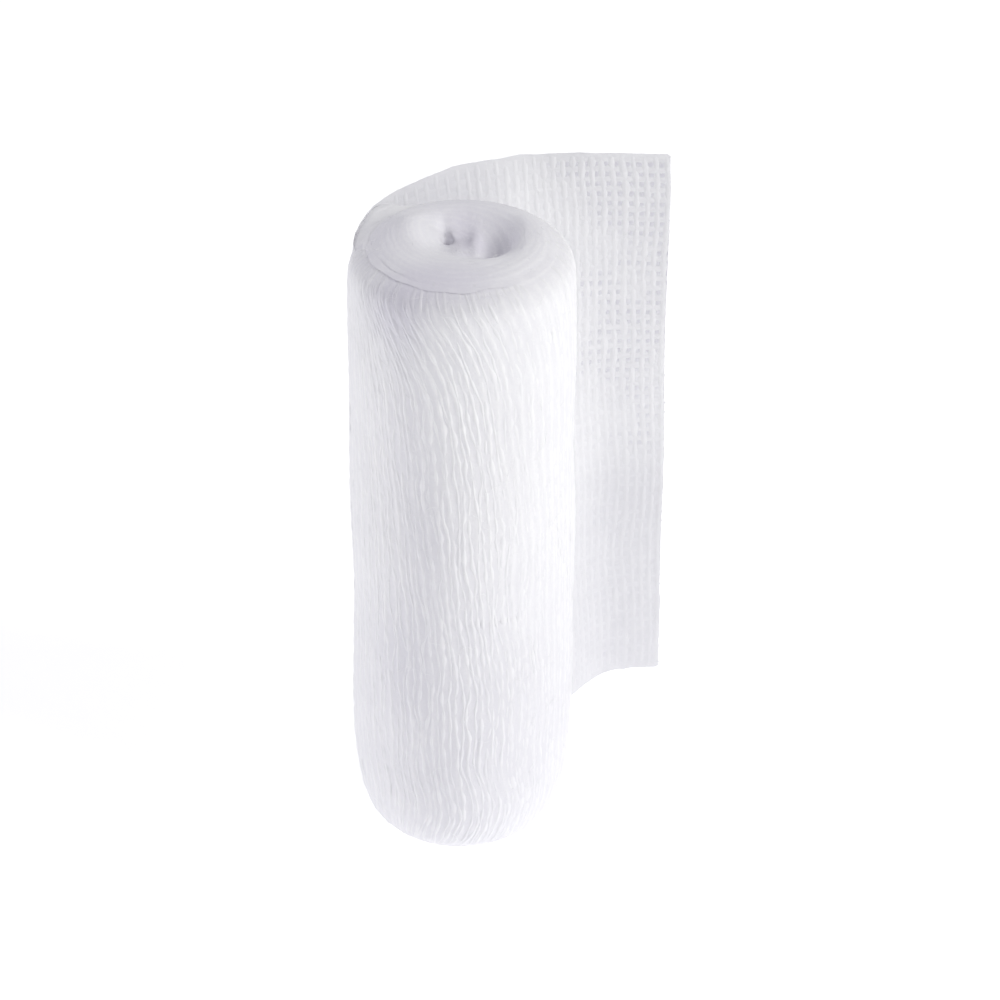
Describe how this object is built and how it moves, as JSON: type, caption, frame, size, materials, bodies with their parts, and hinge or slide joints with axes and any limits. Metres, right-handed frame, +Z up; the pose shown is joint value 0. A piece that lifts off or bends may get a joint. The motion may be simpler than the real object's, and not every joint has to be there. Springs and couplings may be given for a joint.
{
  "type": "gauze bandage roll",
  "caption": "Wound roll of white open-weave gauze bandage standing on its end, its loose outer end standing clear behind it, for wrapping and dressing.",
  "frame": {"origin": "on the roll's axis, at the flat foot that it stands on", "axes": "+Z up along the roll's axis, +X to the right with the loose end's cut edge, +Y backwards to the loose end"},
  "size_m": [0.0521, 0.0521, 0.1082],
  "materials": {
    "wound_gauze": "matt bleached cotton, many turns of open weave showing through each other",
    "gauze": "matt bleached cotton, open plain weave with soft fuzzy yarns"
  },
  "bodies": {
    "root": {"wound_roll": "wound_gauze", "loose_end": "gauze"}
  },
  "joints": []
}
